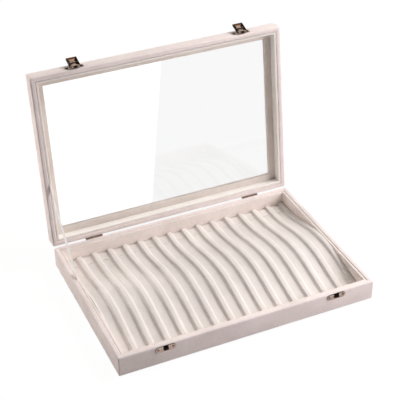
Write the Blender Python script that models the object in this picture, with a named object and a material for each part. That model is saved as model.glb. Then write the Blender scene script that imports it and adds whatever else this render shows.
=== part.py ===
"""Velvet-covered jewellery organizer box with a glass lid, standing open.

The box is fibreboard covered in velvet. A shallow base holds a fluted pad that arches from
back to front. The lid carries a pane of glass in a window frame, turns on two butt hinges,
leans back against a ribbon stay, and closes with two box hasps.

Units are metres, +Z is up and the front of the box faces -Y. The origin is the middle of the
underside. Pieces of the lid are modelled as if the lid were shut and hang on an empty at the
hinge axis, which opens them.
"""
import math

import bmesh
import bpy
from mathutils import Matrix, Vector

# Overall box
BOX_WIDTH = 0.350
BOX_DEPTH = 0.240
BASE_HEIGHT = 0.0290
LID_HEIGHT = 0.0207
LID_OPEN_ANGLE = 97.9

# Fits
CLEARANCE = 0.0003
SHADE_ANGLE = 35.0

# Walls, floor and liners
WALL = 0.0063
EDGE_ROUND = 0.0015
CORNER_ROUND = 0.0022
COVER_THICKNESS = 0.0007
COVER_INSET = 0.0030
COVER_CORNER = 0.0030
FLOOR_THICKNESS = 0.0025
LINER_THICKNESS = 0.0024
LINER_GAP = 0.0009
LINER_DROP = 0.0008
LINER_ROUND = 0.0006
LINER_CORNER = 0.0014

# Fluted pad
CARD_THICKNESS = 0.0010
PAD_SIDE_CLEARANCE = 0.0004
CHANNEL_COUNT = 15
RIDGE_HALF_WIDTH = 0.0050
RIDGE_SHIFT = -0.0020
RIDGE_FULLNESS = 0.70
FLOOR_SAG = 0.0003
PAD_ROWS = 9
PAD_LOW_THICKNESS = 0.0044
CROWN_BELOW_RIM = 0.0005
ARCH_BACK_MARGIN = 0.0140
ARCH_FRONT_OVERRUN = 0.0100
CHANNEL_DEPTH_LOW = 0.0034
CHANNEL_DEPTH_HIGH = 0.0040
FRONT_STRIP = 0.0100
CHANNEL_END = 0.0090

# Lid window
WINDOW_MARGIN = 0.0184
TOP_FRAME_THICKNESS = 0.0022
INNER_FRAME_THICKNESS = 0.0022
FRAME_ROUND = 0.0006
GLASS_THICKNESS = 0.0020
GLASS_LAP = 0.0080
GLASS_EDGE = 0.0003

# Butt hinges
HINGE_FROM_END = 0.0575
HINGE_WIDTH = 0.0240
HINGE_SETBACK = 0.0007
LEAF_HEIGHT = 0.0100
LEAF_THICKNESS = 0.0007
KNUCKLE_RADIUS = 0.0012
HINGE_PIN_RADIUS = 0.0005
HINGE_SCREW_SPACING = 0.0150

# Hasps, their plates and the catches
LATCH_FROM_END = 0.0580
LATCH_SHIFT = 0.0025
LATCH_PLATE_WIDTH = 0.0245
LATCH_PLATE_HEIGHT = 0.0093
LATCH_PLATE_THICKNESS = 0.0008
LATCH_PLATE_CORNER = 0.0020
LATCH_SCREW_SPACING = 0.0190
HASP_AXIS_ABOVE_RIM = 0.0017
HASP_AXIS_PROUD = 0.0023
HASP_BARREL_RADIUS = 0.0013
HASP_PIN_RADIUS = 0.00055
HASP_BARREL_INNER = 0.0042
HASP_BARREL_OUTER = 0.0112
HASP_WIDTH = 0.0142
HASP_LENGTH = 0.0178
HASP_ROOT = 0.0016
HASP_SHEET = 0.0007
HASP_OUTER_OFFSET = 0.0017
HASP_FLANGE_DEPTH = 0.0026
HASP_ROUND = 0.0006
HASP_BAR_THICKNESS = 0.0008
HASP_BAR_DEPTH = 0.0010
SNAP_CLEARANCE = 0.0004
BARREL_GAP = 0.0002
ARM_INSET = 0.0001
ARM_LAP = 0.0010
HASP_OPEN_ANGLE = 156.0
CATCH_WIDTH = 0.0265
CATCH_HEIGHT = 0.0085
CATCH_THICKNESS = 0.0008
CATCH_BELOW_RIM = 0.0006
CATCH_SCREW_SPACING = 0.0196
HOOK_WIDTH = 0.0060
HOOK_BELOW_RIM = 0.0001
HOOK_LENGTH = 0.0061

# Screws
SCREW_HEAD_RADIUS = 0.0015
SCREW_HEAD_HEIGHT = 0.0006
SCREW_SHANK_RADIUS = 0.0007
SCREW_DEPTH = 0.0040
ROUND_SEGMENTS = 16

# Ribbon stay
RIBBON_WIDTH = 0.0070
RIBBON_THICKNESS = 0.0003
RIBBON_BASE_REACH = 0.0757
RIBBON_LID_REACH = 0.0870
RIBBON_TUCK_BASE = 0.0150
RIBBON_TUCK_LID = 0.0130

# Places worked out from the sizes above
FRONT_Y = -BOX_DEPTH / 2
BACK_Y = BOX_DEPTH / 2
LID_RIM_Z = BASE_HEIGHT + CLEARANCE
LID_TOP_Z = LID_RIM_Z + LID_HEIGHT
WALL_BOTTOM_Z = COVER_THICKNESS + CLEARANCE
FLOOR_TOP_Z = WALL_BOTTOM_Z + FLOOR_THICKNESS
LINER_BOTTOM_Z = FLOOR_TOP_Z + CLEARANCE
CARD_TOP_Z = LINER_BOTTOM_Z + CARD_THICKNESS
PAD_BOTTOM_Z = CARD_TOP_Z + CLEARANCE
LINER_INSET = WALL + LINER_GAP + LINER_THICKNESS
TOP_FRAME_Z = LID_TOP_Z - TOP_FRAME_THICKNESS
GLASS_Z = TOP_FRAME_Z - CLEARANCE - GLASS_THICKNESS
INNER_FRAME_Z = GLASS_Z - CLEARANCE - INNER_FRAME_THICKNESS
HINGE_AXIS = Vector((0, BACK_Y + HINGE_SETBACK, BASE_HEIGHT + CLEARANCE / 2))
HASP_AXIS = Vector((0, FRONT_Y - HASP_AXIS_PROUD, LID_RIM_Z + HASP_AXIS_ABOVE_RIM))
HOOK_BOTTOM_Z = BASE_HEIGHT - HOOK_BELOW_RIM - HOOK_LENGTH

SIDES = {"front": 0, "right": 90, "back": 180, "left": 270}


def clear_scene():
    for item in list(bpy.data.objects):
        bpy.data.objects.remove(item, do_unlink=True)


def material(name, colour, roughness, metallic=0.0, transmission=0.0):
    mat = bpy.data.materials.new(name)
    mat.use_nodes = True
    shader = mat.node_tree.nodes["Principled BSDF"]
    shader.inputs["Base Color"].default_value = (*colour, 1)
    shader.inputs["Roughness"].default_value = roughness
    shader.inputs["Metallic"].default_value = metallic
    shader.inputs["Transmission Weight"].default_value = transmission
    return mat


def pivot(name, parent, location, degrees):
    """An empty on a joint axis that runs along X; its children are modelled at rest."""
    empty = bpy.data.objects.new(name, None)
    bpy.context.collection.objects.link(empty)
    empty.parent = parent
    empty.location = location
    empty.rotation_euler.x = math.radians(degrees)
    return empty


def finish(name, bm, look, parent=None, axis=None, smooth=False):
    """Turn a bmesh in shut-box coordinates into a named object."""
    bmesh.ops.recalc_face_normals(bm, faces=bm.faces)
    mesh = bpy.data.meshes.new(name)
    bm.to_mesh(mesh)
    bm.free()
    if smooth:
        mesh.shade_smooth()
        mesh.set_sharp_from_angle(angle=math.radians(SHADE_ANGLE))
    mesh.materials.append(look)
    item = bpy.data.objects.new(name, mesh)
    bpy.context.collection.objects.link(item)
    if parent is not None:
        item.parent = parent
        item.location = -axis
    return item


def boolean(item, operation, tool):
    """Join or cut one closed bmesh into an object, and keep the result as its mesh."""
    bmesh.ops.recalc_face_normals(tool, faces=tool.faces)
    mesh = bpy.data.meshes.new("tool")
    tool.to_mesh(mesh)
    tool.free()
    cutter = bpy.data.objects.new("tool", mesh)
    bpy.context.collection.objects.link(cutter)
    bpy.context.view_layer.update()
    cutter.matrix_world = item.matrix_world
    modifier = item.modifiers.new(operation, "BOOLEAN")
    modifier.operation = operation
    modifier.object = cutter
    bpy.context.view_layer.update()
    shaped = item.evaluated_get(bpy.context.evaluated_depsgraph_get())
    result = bpy.data.meshes.new_from_object(shaped)
    item.modifiers.remove(modifier)
    item.data = result
    bpy.data.objects.remove(cutter, do_unlink=True)


def add_box(bm, low, high):
    centre = (Vector(low) + Vector(high)) / 2
    size = Vector(high) - Vector(low)
    place = Matrix.Translation(centre) @ Matrix.Diagonal((*size, 1))
    return bmesh.ops.create_cube(bm, size=1.0, matrix=place)["verts"]


def box(low, high, rounding=0.0):
    bm = bmesh.new()
    add_box(bm, low, high)
    if rounding:
        bmesh.ops.bevel(bm, geom=bm.edges[:], offset=rounding, segments=2, profile=0.5, affect="EDGES")
    return bm


def add_rod(bm, start, end, radius, segments=ROUND_SEGMENTS):
    start = Vector(start)
    run = Vector(end) - start
    turn = run.to_track_quat("Z", "Y").to_matrix().to_4x4()
    place = Matrix.Translation(start + run / 2) @ turn
    bmesh.ops.create_cone(bm, cap_ends=True, segments=segments, radius1=radius, radius2=radius,
                          depth=run.length, matrix=place)


def rod(start, end, radius, segments=ROUND_SEGMENTS):
    bm = bmesh.new()
    add_rod(bm, start, end, radius, segments)
    return bm


def extrude_outline(points, shift):
    """A prism from a flat outline of 3-D points, moved along one vector."""
    bm = bmesh.new()
    face = bm.faces.new([bm.verts.new(p) for p in points])
    swept = bmesh.ops.extrude_face_region(bm, geom=[face])
    moved = [v for v in swept["geom"] if isinstance(v, bmesh.types.BMVert)]
    bmesh.ops.translate(bm, vec=shift, verts=moved)
    return bm


def rounded_rectangle(width, height, radius, steps=4):
    points = []
    corners = ((1, 1, 0), (-1, 1, 90), (-1, -1, 180), (1, -1, 270))
    for sx, sy, start in corners:
        cx, cy = sx * (width / 2 - radius), sy * (height / 2 - radius)
        for step in range(steps + 1):
            angle = math.radians(start + 90 * step / steps)
            points.append((cx + radius * math.cos(angle), cy + radius * math.sin(angle)))
    return points


def mitred_board(side, outer_x, outer_y, width, low_z, high_z, corner, rounding, rounded):
    """One of four boards that meet at mitred corners, as a bmesh.

    The board is drawn at the front and turned to its side. "rounded" names the long edges
    that are rounded over: outer_top, outer_bottom, inner_top or inner_bottom.
    """
    turn = SIDES[side]
    half, reach = (outer_x, outer_y) if turn % 180 == 0 else (outer_y, outer_x)
    joint = CLEARANCE / math.sqrt(2)
    outer = []
    for step in range(3):
        angle = math.radians(45 + 45 * step / 2)
        outer.append((-half + corner * (1 - math.cos(angle)), -reach + corner * (1 - math.sin(angle))))
    outer[0] = (outer[0][0] + joint, outer[0][1])
    inner = (-half + width + joint, -reach + width)
    mirrored = [(-x, y) for x, y in reversed(outer)]
    outline = [inner] + outer + mirrored + [(-inner[0], inner[1])]
    bm = extrude_outline([(x, y, low_z) for x, y in outline], (0, 0, high_z - low_z))
    bm.edges.ensure_lookup_table()
    level = {"top": high_z, "bottom": low_z}
    chosen = []
    for name in rounded:
        edge_side, edge_level = name.split("_")
        for edge in bm.edges:
            a, b = edge.verts
            flat = abs(a.co.z - level[edge_level]) < 1e-6 and abs(b.co.z - level[edge_level]) < 1e-6
            on_inner = abs(a.co.y - inner[1]) < 1e-6 and abs(b.co.y - inner[1]) < 1e-6
            on_outer = max(a.co.y, b.co.y) < -reach + corner
            if flat and (on_inner if edge_side == "inner" else on_outer):
                chosen.append(edge)
    if chosen:
        bmesh.ops.bevel(bm, geom=chosen, offset=rounding, segments=3, profile=0.5, affect="EDGES")
    bmesh.ops.rotate(bm, cent=(0, 0, 0), matrix=Matrix.Rotation(math.radians(turn), 3, "Z"), verts=bm.verts)
    return bm


def board_ring(prefix, suffix, look, inset, width, low_z, high_z, corner, rounding, rounded, lid=None):
    """Four mitred boards of one ring, named for their sides."""
    boards = {}
    for side in SIDES:
        bm = mitred_board(side, BOX_WIDTH / 2 - inset, BOX_DEPTH / 2 - inset, width, low_z, high_z,
                          corner, rounding, rounded)
        boards[side] = finish(f"{prefix}_{side}_{suffix}", bm, look, lid, HINGE_AXIS, smooth=True)
    return boards


def base_shell(looks):
    outline = rounded_rectangle(BOX_WIDTH - 2 * COVER_INSET, BOX_DEPTH - 2 * COVER_INSET, COVER_CORNER)
    cover = extrude_outline([(x, y, 0) for x, y in outline], (0, 0, COVER_THICKNESS))
    finish("bottom_cover_sheet", cover, looks["cover"])
    half_x = BOX_WIDTH / 2 - WALL - CLEARANCE
    half_y = BOX_DEPTH / 2 - WALL - CLEARANCE
    floor = box((-half_x, -half_y, WALL_BOTTOM_Z), (half_x, half_y, FLOOR_TOP_Z))
    finish("bottom_board", floor, looks["board"])
    walls = board_ring("base", "wall", looks["velvet"], 0, WALL, WALL_BOTTOM_Z, BASE_HEIGHT,
                       CORNER_ROUND, EDGE_ROUND, ("outer_top", "outer_bottom", "inner_top"))
    board_ring("base", "liner", looks["liner"], WALL + LINER_GAP, LINER_THICKNESS, LINER_BOTTOM_Z,
               BASE_HEIGHT - LINER_DROP, LINER_CORNER, LINER_ROUND, ("outer_top", "inner_top"))
    return walls


def lid_shell(looks, lid):
    walls = board_ring("lid", "wall", looks["velvet"], 0, WALL, LID_RIM_Z, LID_TOP_Z, CORNER_ROUND,
                       EDGE_ROUND, ("outer_top", "outer_bottom", "inner_bottom"), lid)
    frame_inset = WALL + CLEARANCE
    rail = WINDOW_MARGIN - frame_inset
    board_ring("lid_top", "rail", looks["velvet"], frame_inset, rail, TOP_FRAME_Z, LID_TOP_Z, FRAME_ROUND,
               FRAME_ROUND, ("inner_top",), lid)
    board_ring("lid_inner", "rail", looks["liner"], frame_inset, rail, INNER_FRAME_Z,
               INNER_FRAME_Z + INNER_FRAME_THICKNESS, FRAME_ROUND, FRAME_ROUND, ("inner_bottom",), lid)
    board_ring("lid", "liner", looks["liner"], WALL + LINER_GAP, LINER_THICKNESS, LID_RIM_Z + LINER_DROP,
               INNER_FRAME_Z - CLEARANCE, LINER_CORNER, LINER_ROUND, ("outer_bottom", "inner_bottom"), lid)
    half_x = BOX_WIDTH / 2 - WINDOW_MARGIN + GLASS_LAP
    half_y = BOX_DEPTH / 2 - WINDOW_MARGIN + GLASS_LAP
    pane = box((-half_x, -half_y, GLASS_Z), (half_x, half_y, GLASS_Z + GLASS_THICKNESS), GLASS_EDGE)
    finish("glass_pane", pane, looks["glass"], lid, HINGE_AXIS)
    return walls


def hump(y, pad_front, pad_back):
    """Height of the arch from 0 to 1 along the depth of the pad."""
    start = pad_front - ARCH_FRONT_OVERRUN
    end = pad_back - ARCH_BACK_MARGIN
    along = (y - (start + end) / 2) / ((end - start) / 2)
    return 0.5 * (1 + math.cos(math.pi * along)) if abs(along) < 1 else 0.0


def ridge_height(distance):
    """Height of a ridge above the channel floor, from 1 at its crown to 0 at its foot and beyond."""
    along = min(distance / RIDGE_HALF_WIDTH, 1.0)
    return (0.5 * (1 + math.cos(math.pi * along))) ** RIDGE_FULLNESS


def pad_columns(half_x):
    """Places across the pad, each with its drop from crown to floor as a share of the channel's depth."""
    pitch = 2 * half_x / CHANNEL_COUNT
    half_floor = pitch / 2
    offsets = (-RIDGE_HALF_WIDTH, -RIDGE_HALF_WIDTH / 2, 0, RIDGE_HALF_WIDTH / 2, RIDGE_HALF_WIDTH, half_floor)
    crowns = [RIDGE_SHIFT - half_x + pitch * number for number in range(CHANNEL_COUNT + 2)]
    places = [crown + offset for crown in crowns for offset in offsets]
    places = [-half_x] + [x for x in places if abs(x) < half_x - CLEARANCE] + [half_x]
    columns = []
    for x in places:
        distance = min(abs(x - crown) for crown in crowns)
        sag = FLOOR_SAG * max(distance - RIDGE_HALF_WIDTH, 0) / (half_floor - RIDGE_HALF_WIDTH)
        columns.append((x, 1 - ridge_height(distance), sag))
    return columns


def fluted_pad(looks):
    half_x = BOX_WIDTH / 2 - LINER_INSET - PAD_SIDE_CLEARANCE
    half_y = BOX_DEPTH / 2 - LINER_INSET - PAD_SIDE_CLEARANCE
    card = box((-half_x, -half_y, LINER_BOTTOM_Z), (half_x, half_y, CARD_TOP_Z))
    finish("insert_backing_card", card, looks["board"])

    crown_low = PAD_BOTTOM_Z + PAD_LOW_THICKNESS
    rise = BASE_HEIGHT - CROWN_BELOW_RIM - crown_low
    channel_start = -half_y + FRONT_STRIP
    first_full = channel_start + CHANNEL_END
    rows = [-half_y, channel_start, channel_start + CHANNEL_END / 3]
    for row in range(PAD_ROWS):
        rows.append(first_full + (half_y - first_full) * row / (PAD_ROWS - 1))
    columns = pad_columns(half_x)

    bm = bmesh.new()
    grid = []
    for y in rows:
        arch = hump(y, -half_y, half_y)
        opened = math.sqrt(min(max((y - channel_start) / CHANNEL_END, 0.0), 1.0))
        depth = CHANNEL_DEPTH_LOW + (CHANNEL_DEPTH_HIGH - CHANNEL_DEPTH_LOW) * arch
        crown = crown_low + rise * arch
        grid.append([bm.verts.new((x, y, crown - opened * (depth * drop + sag))) for x, drop, sag in columns])
    for near, far in zip(grid, grid[1:]):
        for a, b, c, d in zip(near, near[1:], far[1:], far):
            bm.faces.new((a, b, c, d))
    feet = [bm.verts.new((x, y, PAD_BOTTOM_Z)) for x, y in
            ((-half_x, -half_y), (half_x, -half_y), (half_x, half_y), (-half_x, half_y))]
    bm.faces.new([feet[0], feet[1]] + grid[0][::-1])
    bm.faces.new([feet[2], feet[3]] + grid[-1])
    bm.faces.new([feet[1], feet[2]] + [line[-1] for line in reversed(grid)])
    bm.faces.new([feet[3], feet[0]] + [line[0] for line in grid])
    bm.faces.new(feet[::-1])
    finish("fluted_pad", bm, looks["pad"], smooth=True)


def screw_mesh(look):
    """One pan-head screw: its head stands on +Z and its shank runs down -Z from the origin."""
    bm = rod((0, 0, 0), (0, 0, SCREW_HEAD_HEIGHT), SCREW_HEAD_RADIUS, 12)
    crown = [edge for edge in bm.edges if min(v.co.z for v in edge.verts) > SCREW_HEAD_HEIGHT / 2]
    bmesh.ops.bevel(bm, geom=crown, offset=SCREW_HEAD_HEIGHT / 2, segments=2, profile=0.5, affect="EDGES")
    under = min(bm.faces, key=lambda face: face.calc_center_median().z)
    bmesh.ops.inset_region(bm, faces=[under], thickness=SCREW_HEAD_RADIUS - SCREW_SHANK_RADIUS)
    shank = bmesh.ops.extrude_discrete_faces(bm, faces=[under])["faces"][0]
    bmesh.ops.translate(bm, vec=(0, 0, -SCREW_DEPTH), verts=shank.verts)
    bmesh.ops.recalc_face_normals(bm, faces=bm.faces)
    mesh = bpy.data.meshes.new("screw")
    bm.to_mesh(mesh)
    bm.free()
    mesh.shade_smooth()
    mesh.set_sharp_from_angle(angle=math.radians(SHADE_ANGLE))
    mesh.materials.append(look)
    return mesh


def place_screws(name, places, inward, mesh, parent=None, axis=None):
    """A screw in each place, which is the middle of its head's underside."""
    for number, place in enumerate(places, 1):
        screw = bpy.data.objects.new(f"{name}_{number}", mesh)
        bpy.context.collection.objects.link(screw)
        screw.parent = parent
        screw.location = Vector(place) - (axis if parent else Vector())
        screw.rotation_euler.x = math.radians(90 * inward[1] / abs(inward[1]))


def drill(item, places, inward, depth):
    """Screw holes with running room for the shanks, from in front of each place."""
    bm = bmesh.new()
    inward = Vector(inward)
    for place in places:
        place = Vector(place)
        add_rod(bm, place - inward * 0.002, place + inward * depth, SCREW_SHANK_RADIUS + CLEARANCE, 12)
    boolean(item, "DIFFERENCE", bm)


def hinge_leaf(name, x, direction, knuckles, look, parent=None):
    """A leaf on the back face, with knuckles on the hinge axis.

    "direction" is -1 for the leaf on the base and +1 for the leaf on the lid.
    """
    near_y = BACK_Y + CLEARANCE
    far_y = near_y + LEAF_THICKNESS
    root_z = HINGE_AXIS.z + direction * (KNUCKLE_RADIUS + CLEARANCE)
    tip_z = root_z + direction * LEAF_HEIGHT
    low_z, high_z = sorted((root_z, tip_z))
    leaf = finish(name, box((x - HINGE_WIDTH / 2, near_y, low_z), (x + HINGE_WIDTH / 2, far_y, high_z)),
                  look, parent, HINGE_AXIS)
    for start, end in knuckles:
        neck_low, neck_high = sorted((HINGE_AXIS.z, root_z + direction * LEAF_THICKNESS))
        boolean(leaf, "UNION", box((x + start + ARM_INSET, near_y + ARM_INSET, neck_low),
                                   (x + end - ARM_INSET, far_y - ARM_INSET, neck_high)))
        boolean(leaf, "UNION", rod((x + start, HINGE_AXIS.y, HINGE_AXIS.z),
                                   (x + end, HINGE_AXIS.y, HINGE_AXIS.z), KNUCKLE_RADIUS))
    boolean(leaf, "DIFFERENCE", rod((x - HINGE_WIDTH, HINGE_AXIS.y, HINGE_AXIS.z),
                                    (x + HINGE_WIDTH, HINGE_AXIS.y, HINGE_AXIS.z),
                                    HINGE_PIN_RADIUS + CLEARANCE))
    return leaf


def hinges(looks, screw, base_walls, lid_walls, lid):
    third = (HINGE_WIDTH - 2 * CLEARANCE) / 3
    outer = ((-HINGE_WIDTH / 2, -HINGE_WIDTH / 2 + third), (HINGE_WIDTH / 2 - third, HINGE_WIDTH / 2))
    middle = ((-third / 2, third / 2),)
    head_y = BACK_Y + CLEARANCE + LEAF_THICKNESS + CLEARANCE
    screw_rise = KNUCKLE_RADIUS + CLEARANCE + LEAF_HEIGHT / 2
    base_screws, lid_screws = [], []
    leaves = []
    for side, x in (("left", HINGE_FROM_END - BOX_WIDTH / 2), ("right", BOX_WIDTH / 2 - HINGE_FROM_END)):
        leaves.append(hinge_leaf(f"hinge_base_leaf_{side}", x, -1, outer, looks["nickel"]))
        leaves.append(hinge_leaf(f"hinge_lid_leaf_{side}", x, 1, middle, looks["nickel"], lid))
        pin = rod((x - HINGE_WIDTH / 2, HINGE_AXIS.y, HINGE_AXIS.z), (x + HINGE_WIDTH / 2, HINGE_AXIS.y,
                  HINGE_AXIS.z), HINGE_PIN_RADIUS, 12)
        finish(f"hinge_pin_{side}", pin, looks["nickel"], smooth=True)
        for offset in (-HINGE_SCREW_SPACING / 2, HINGE_SCREW_SPACING / 2):
            base_screws.append((x + offset, head_y, HINGE_AXIS.z - screw_rise))
            lid_screws.append((x + offset, head_y, HINGE_AXIS.z + screw_rise))
        for wall in (base_walls["back"], lid_walls["back"]):
            groove = rod((x - HINGE_WIDTH / 2 - CLEARANCE, HINGE_AXIS.y, HINGE_AXIS.z),
                         (x + HINGE_WIDTH / 2 + CLEARANCE, HINGE_AXIS.y, HINGE_AXIS.z),
                         KNUCKLE_RADIUS + CLEARANCE)
            boolean(wall, "DIFFERENCE", groove)
    inward = (0, -1, 0)
    hole = SCREW_DEPTH + CLEARANCE
    for leaf in leaves:
        on_lid = "lid" in leaf.name
        side_sign = -1 if "left" in leaf.name else 1
        group = lid_screws if on_lid else base_screws
        drill(leaf, [p for p in group if p[0] * side_sign > 0], inward, hole)
    drill(base_walls["back"], base_screws, inward, hole)
    drill(lid_walls["back"], lid_screws, inward, hole)
    place_screws("hinge_base_screw", base_screws, inward, screw)
    place_screws("hinge_lid_screw", lid_screws, inward, screw, lid, HINGE_AXIS)


def front_plate(name, x, middle_z, width, height, thickness, corner, look, parent=None):
    """A thin plate lying on the front face."""
    near_y = FRONT_Y - CLEARANCE
    outline = [(x + px, near_y, middle_z + pz) for px, pz in rounded_rectangle(width, height, corner)]
    bm = extrude_outline(outline, (0, -thickness, 0))
    return finish(name, bm, look, parent, HINGE_AXIS)


def latch_plate(side, x, look, lid):
    """The plate on the lid's front wall, with two curled arms that hold the hasp's pin."""
    low_z = HASP_AXIS.z + HASP_BARREL_RADIUS + BARREL_GAP
    middle_z = low_z + LATCH_PLATE_HEIGHT / 2
    plate = front_plate(f"latch_plate_{side}", x, middle_z, LATCH_PLATE_WIDTH, LATCH_PLATE_HEIGHT,
                        LATCH_PLATE_THICKNESS, LATCH_PLATE_CORNER, look, lid)
    inner_y = FRONT_Y - CLEARANCE - ARM_INSET
    outer_y = FRONT_Y - CLEARANCE - LATCH_PLATE_THICKNESS + ARM_INSET
    curl = [(inner_y, low_z + ARM_LAP), (outer_y, low_z + ARM_LAP), (outer_y, low_z - BARREL_GAP / 2)]
    for step in range(9):
        angle = math.radians(50 + 255 * step / 8)
        curl.append((HASP_AXIS.y + HASP_BARREL_RADIUS * math.cos(angle),
                     HASP_AXIS.z + HASP_BARREL_RADIUS * math.sin(angle)))
    curl.append((inner_y, HASP_AXIS.z - HASP_BARREL_RADIUS / 2))
    arm_width = (HASP_BARREL_OUTER - HASP_BARREL_INNER) / 2 - CLEARANCE
    for start in (x - HASP_BARREL_OUTER / 2, x + HASP_BARREL_INNER / 2 + CLEARANCE):
        boolean(plate, "UNION", extrude_outline([(start, y, z) for y, z in curl], (arm_width, 0, 0)))
    boolean(plate, "DIFFERENCE", rod((x - HASP_WIDTH, HASP_AXIS.y, HASP_AXIS.z),
                                     (x + HASP_WIDTH, HASP_AXIS.y, HASP_AXIS.z),
                                     HASP_PIN_RADIUS + CLEARANCE))
    head_y = FRONT_Y - CLEARANCE - LATCH_PLATE_THICKNESS - CLEARANCE
    screws = [(x + offset, head_y, middle_z) for offset in (-LATCH_SCREW_SPACING / 2, LATCH_SCREW_SPACING / 2)]
    return plate, screws


def hasp(side, x, look, lid):
    """A stamped cap on the plate's pin, modelled shut and turned open by its own empty."""
    swing = pivot(f"hasp_{side}_pivot", lid, HASP_AXIS + Vector((x, 0, 0)) - HINGE_AXIS, -HASP_OPEN_ANGLE)
    centre = HASP_AXIS + Vector((x, 0, 0))
    half = HASP_WIDTH / 2
    outer_y = centre.y - HASP_OUTER_OFFSET
    inner_y = outer_y + HASP_FLANGE_DEPTH
    root_z = centre.z - HASP_ROOT
    tip_z = centre.z - HASP_LENGTH
    shell = finish(f"hasp_{side}", box((x - half, outer_y, tip_z), (x + half, inner_y, root_z), HASP_ROUND),
                   look, swing, centre)
    hollow = half - HASP_SHEET
    boolean(shell, "DIFFERENCE", box((x - hollow, outer_y + HASP_SHEET, tip_z + HASP_SHEET),
                                     (x + hollow, inner_y + HASP_SHEET, root_z + HASP_SHEET)))
    bar_top = HOOK_BOTTOM_Z - SNAP_CLEARANCE
    boolean(shell, "UNION", box((x - hollow - HASP_SHEET / 2, outer_y + HASP_SHEET / 2,
                                 bar_top - HASP_BAR_THICKNESS),
                                (x + hollow + HASP_SHEET / 2, outer_y + HASP_SHEET + HASP_BAR_DEPTH, bar_top)))
    barrel = HASP_BARREL_INNER / 2
    boolean(shell, "UNION", box((x - barrel, outer_y + HASP_SHEET / 3, root_z - HASP_SHEET),
                                (x + barrel, outer_y + HASP_SHEET * 1.2, centre.z)))
    boolean(shell, "UNION", rod((x - barrel, centre.y, centre.z), (x + barrel, centre.y, centre.z),
                                HASP_BARREL_RADIUS))
    boolean(shell, "DIFFERENCE", rod((x - half, centre.y, centre.z), (x + half, centre.y, centre.z),
                                     HASP_PIN_RADIUS + CLEARANCE))
    return shell


def catch_plate(side, x, look):
    """The round-ended plate on the base, with the snap hook that the hasp's bar goes under."""
    middle_z = BASE_HEIGHT - CATCH_BELOW_RIM - CATCH_HEIGHT / 2
    plate = front_plate(f"catch_plate_{side}", x, middle_z, CATCH_WIDTH, CATCH_HEIGHT, CATCH_THICKNESS,
                        CATCH_HEIGHT / 2 - ARM_INSET, look)
    root_y = FRONT_Y - CLEARANCE - CATCH_THICKNESS / 2
    tip_y = HASP_AXIS.y - HASP_OUTER_OFFSET + HASP_SHEET + CLEARANCE
    top_z = HOOK_BOTTOM_Z + HOOK_LENGTH
    profile = ((root_y, HOOK_BOTTOM_Z), (tip_y, HOOK_BOTTOM_Z), (tip_y, HOOK_BOTTOM_Z + HOOK_LENGTH * 0.3),
               (tip_y * 0.7 + root_y * 0.3, HOOK_BOTTOM_Z + HOOK_LENGTH * 0.7),
               (tip_y * 0.3 + root_y * 0.7, top_z), (root_y, top_z))
    hook = extrude_outline([(x - HOOK_WIDTH / 2, y, z) for y, z in profile], (HOOK_WIDTH, 0, 0))
    boolean(plate, "UNION", hook)
    screws = [(x + offset, FRONT_Y - 2 * CLEARANCE - CATCH_THICKNESS, middle_z)
              for offset in (-CATCH_SCREW_SPACING / 2, CATCH_SCREW_SPACING / 2)]
    return plate, screws


def latches(looks, screw, base_walls, lid_walls, lid):
    inward = (0, 1, 0)
    hole = SCREW_DEPTH + CLEARANCE
    plate_screws, catch_screws = [], []
    reach = BOX_WIDTH / 2 - LATCH_FROM_END
    for side, x in (("left", LATCH_SHIFT - reach), ("right", LATCH_SHIFT + reach)):
        plate, screws = latch_plate(side, x, looks["nickel"], lid)
        drill(plate, screws, inward, hole)
        plate_screws += screws
        pin = rod((x - HASP_BARREL_OUTER / 2, HASP_AXIS.y, HASP_AXIS.z),
                  (x + HASP_BARREL_OUTER / 2, HASP_AXIS.y, HASP_AXIS.z), HASP_PIN_RADIUS, 12)
        finish(f"hasp_pin_{side}", pin, looks["nickel"], lid, HINGE_AXIS, smooth=True)
        hasp(side, x, looks["nickel"], lid)
        catch, screws = catch_plate(side, x, looks["nickel"])
        drill(catch, screws, inward, hole)
        catch_screws += screws
    drill(lid_walls["front"], plate_screws, inward, hole)
    drill(base_walls["front"], catch_screws, inward, hole)
    place_screws("latch_plate_screw", plate_screws, inward, screw, lid, HINGE_AXIS)
    place_screws("catch_screw", catch_screws, inward, screw)


def ribbon_stay(look):
    """A taut satin ribbon, its ends tucked between wall and liner of the base and the lid."""
    x = -BOX_WIDTH / 2 + WALL + LINER_GAP / 2
    opened = Matrix.Rotation(math.radians(-LID_OPEN_ANGLE), 3, "X")
    on_base = Vector((x, HINGE_AXIS.y - RIBBON_BASE_REACH, BASE_HEIGHT))
    shut = Vector((x, HINGE_AXIS.y - RIBBON_LID_REACH, LID_RIM_Z)) - HINGE_AXIS
    on_lid = opened @ shut + HINGE_AXIS
    along = (on_lid - on_base).normalized()
    across = along.cross(Vector((1, 0, 0))) * RIBBON_WIDTH / 2
    start = on_base - along * RIBBON_TUCK_BASE
    end = on_lid + along * RIBBON_TUCK_LID
    thick = Vector((RIBBON_THICKNESS, 0, 0))
    corners = [start - across, start + across, end + across, end - across]
    finish("ribbon_stay", extrude_outline([c - thick / 2 for c in corners], thick), look)


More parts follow.
